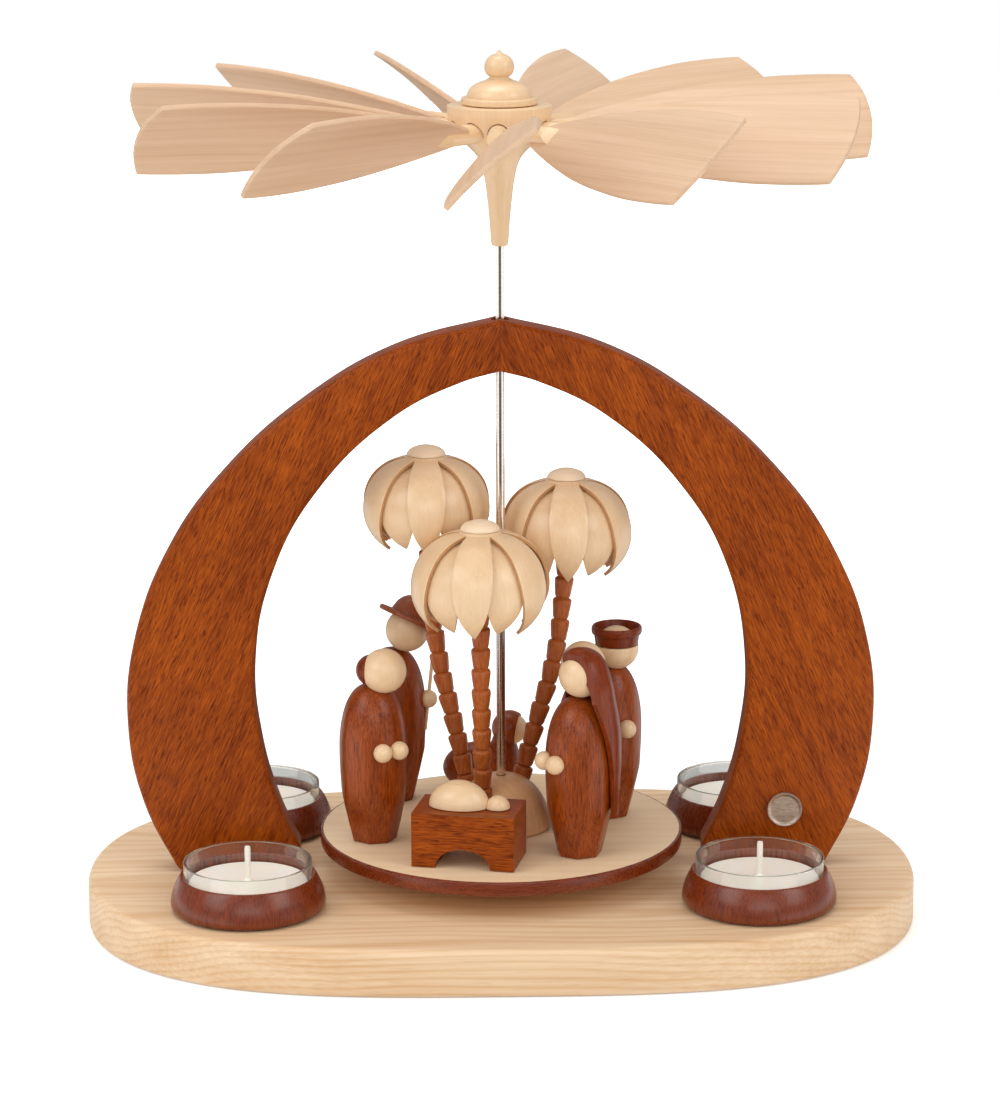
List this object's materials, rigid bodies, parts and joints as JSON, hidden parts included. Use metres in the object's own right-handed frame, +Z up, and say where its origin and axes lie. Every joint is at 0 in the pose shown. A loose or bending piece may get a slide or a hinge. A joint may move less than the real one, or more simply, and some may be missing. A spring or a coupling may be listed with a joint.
{
  "type": "candle carousel",
  "caption": "Pointed wooden arch on an oval board: a fan of blades over tealights turns a round stage of turned figures and palms",
  "frame": {"origin": "middle of the board's underside, on the spindle's axis", "axes": "+X along the board to the right seen from the front, +Y to the back, +Z up along the spindle"},
  "size_m": [0.2852, 0.2493, 0.2971],
  "materials": {
    "ash": "pale straight-grained timber, fine sanded, satin lacquer",
    "maple": "pale close-grained turned timber, satin lacquer",
    "mahogany": "warm red-brown timber with visible grain, satin lacquer",
    "walnut": "dark stained turned timber, satin lacquer",
    "steel": "polished rod",
    "brass": "plain turned guide bush",
    "clear_glass": "clear pressed glass",
    "wax": "white paraffin wax with a cotton wick"
  },
  "bodies": {
    "stand": {"board": "ash", "arch_left": "mahogany", "arch_right": "mahogany", "guide_bush": "brass", "bearing_socket": "walnut", "bearing_glass": "clear_glass", "leg_disc": "steel", "tealight_ring_1": "walnut", "tealight_ring_2": "walnut", "tealight_ring_3": "walnut", "tealight_ring_4": "walnut"},
    "rotor": {"crib": "mahogany", "crowned_body": "mahogany", "crowned_crown": "walnut", "crowned_head": "maple", "front_left_body": "mahogany", "front_left_head": "maple", "infant": "maple", "kneeler": "walnut", "palm_front_button": "maple", "palm_front_crown": "maple", "palm_front_trunk": "mahogany", "palm_left_button": "maple", "palm_left_crown": "maple", "palm_left_trunk": "mahogany", "palm_mound": "maple", "palm_right_button": "maple", "palm_right_crown": "maple", "palm_right_trunk": "mahogany", "rear_figure": "mahogany", "shepherd_body": "mahogany", "shepherd_hat": "mahogany", "shepherd_head": "maple", "spindle": "steel", "turntable": "walnut", "turntable_boss": "walnut", "veiled_body": "mahogany", "veiled_head": "maple", "veiled_veil": "walnut"},
    "fan": {"fan_hub": "maple", "hub_cap": "maple"},
    "vane_01": {"blade_01": "maple"},
    "vane_02": {"blade_02": "maple"},
    "vane_03": {"blade_03": "maple"},
    "vane_04": {"blade_04": "maple"},
    "vane_05": {"blade_05": "maple"},
    "vane_06": {"blade_06": "maple"},
    "vane_07": {"blade_07": "maple"},
    "vane_08": {"blade_08": "maple"},
    "vane_09": {"blade_09": "maple"},
    "vane_10": {"blade_10": "maple"},
    "vane_11": {"blade_11": "maple"},
    "cup_1": {"glass_cup_1": "clear_glass"},
    "tealight_1": {"candle_1": "wax"},
    "cup_2": {"glass_cup_2": "clear_glass"},
    "tealight_2": {"candle_2": "wax"},
    "cup_3": {"glass_cup_3": "clear_glass"},
    "tealight_3": {"candle_3": "wax"},
    "cup_4": {"glass_cup_4": "clear_glass"},
    "tealight_4": {"candle_4": "wax"}
  },
  "joints": [
    {"name": "rotor_spin", "type": "hinge", "parent": "stand", "child": "rotor", "pos_m": [0, 0, 0.0299], "axis": [0, 0, 1], "continuous": true},
    {"name": "fan_lift", "type": "slide", "parent": "rotor", "child": "fan", "axis": [0, 0, 1], "range_m": [0, 0.035]},
    {"name": "blade_pitch_01", "type": "hinge", "parent": "fan", "child": "vane_01", "pos_m": [-0.00063, -0.01378, 0.27088], "axis": [-0.0453, -0.9986, 0.0279], "range_deg": [-40, 40]},
    {"name": "blade_pitch_02", "type": "hinge", "parent": "fan", "child": "vane_02", "pos_m": [0.00692, -0.01193, 0.27088], "axis": [0.5017, -0.8646, 0.0279], "range_deg": [-40, 40]},
    {"name": "blade_pitch_03", "type": "hinge", "parent": "fan", "child": "vane_03", "pos_m": [0.01227, -0.00629, 0.27088], "axis": [0.8895, -0.4561, 0.0279], "range_deg": [-40, 40]},
    {"name": "blade_pitch_04", "type": "hinge", "parent": "fan", "child": "vane_04", "pos_m": [0.01373, 0.00134, 0.27088], "axis": [0.9949, 0.0972, 0.0279], "range_deg": [-40, 40]},
    {"name": "blade_pitch_05", "type": "hinge", "parent": "fan", "child": "vane_05", "pos_m": [0.01082, 0.00855, 0.27088], "axis": [0.7844, 0.6197, 0.0279], "range_deg": [-40, 40]},
    {"name": "blade_pitch_06", "type": "hinge", "parent": "fan", "child": "vane_06", "pos_m": [0.00448, 0.01305, 0.27088], "axis": [0.3248, 0.9454, 0.0279], "range_deg": [-40, 40]},
    {"name": "blade_pitch_07", "type": "hinge", "parent": "fan", "child": "vane_07", "pos_m": [-0.00328, 0.0134, 0.27088], "axis": [-0.2378, 0.9709, 0.0279], "range_deg": [-40, 40]},
    {"name": "blade_pitch_08", "type": "hinge", "parent": "fan", "child": "vane_08", "pos_m": [-0.01001, 0.0095, 0.27088], "axis": [-0.725, 0.6882, 0.0279], "range_deg": [-40, 40]},
    {"name": "blade_pitch_09", "type": "hinge", "parent": "fan", "child": "vane_09", "pos_m": [-0.01355, 0.00258, 0.27088], "axis": [-0.982, 0.187, 0.0279], "range_deg": [-40, 40]},
    {"name": "blade_pitch_10", "type": "hinge", "parent": "fan", "child": "vane_10", "pos_m": [-0.0128, -0.00515, 0.27088], "axis": [-0.9272, -0.3736, 0.0279], "range_deg": [-40, 40]},
    {"name": "blade_pitch_11", "type": "hinge", "parent": "fan", "child": "vane_11", "pos_m": [-0.00798, -0.01125, 0.27088], "axis": [-0.578, -0.8155, 0.0279], "range_deg": [-40, 40]},
    {"name": "cup_lift_1", "type": "slide", "parent": "stand", "child": "cup_1", "axis": [0, 0, 1], "range_m": [0, 0.03]},
    {"name": "candle_lift_1", "type": "slide", "parent": "cup_1", "child": "tealight_1", "axis": [0, 0, 1], "range_m": [0, 0.03]},
    {"name": "cup_lift_2", "type": "slide", "parent": "stand", "child": "cup_2", "axis": [0, 0, 1], "range_m": [0, 0.03]},
    {"name": "candle_lift_2", "type": "slide", "parent": "cup_2", "child": "tealight_2", "axis": [0, 0, 1], "range_m": [0, 0.03]},
    {"name": "cup_lift_3", "type": "slide", "parent": "stand", "child": "cup_3", "axis": [0, 0, 1], "range_m": [0, 0.03]},
    {"name": "candle_lift_3", "type": "slide", "parent": "cup_3", "child": "tealight_3", "axis": [0, 0, 1], "range_m": [0, 0.03]},
    {"name": "cup_lift_4", "type": "slide", "parent": "stand", "child": "cup_4", "axis": [0, 0, 1], "range_m": [0, 0.03]},
    {"name": "candle_lift_4", "type": "slide", "parent": "cup_4", "child": "tealight_4", "axis": [0, 0, 1], "range_m": [0, 0.03]}
  ]
}
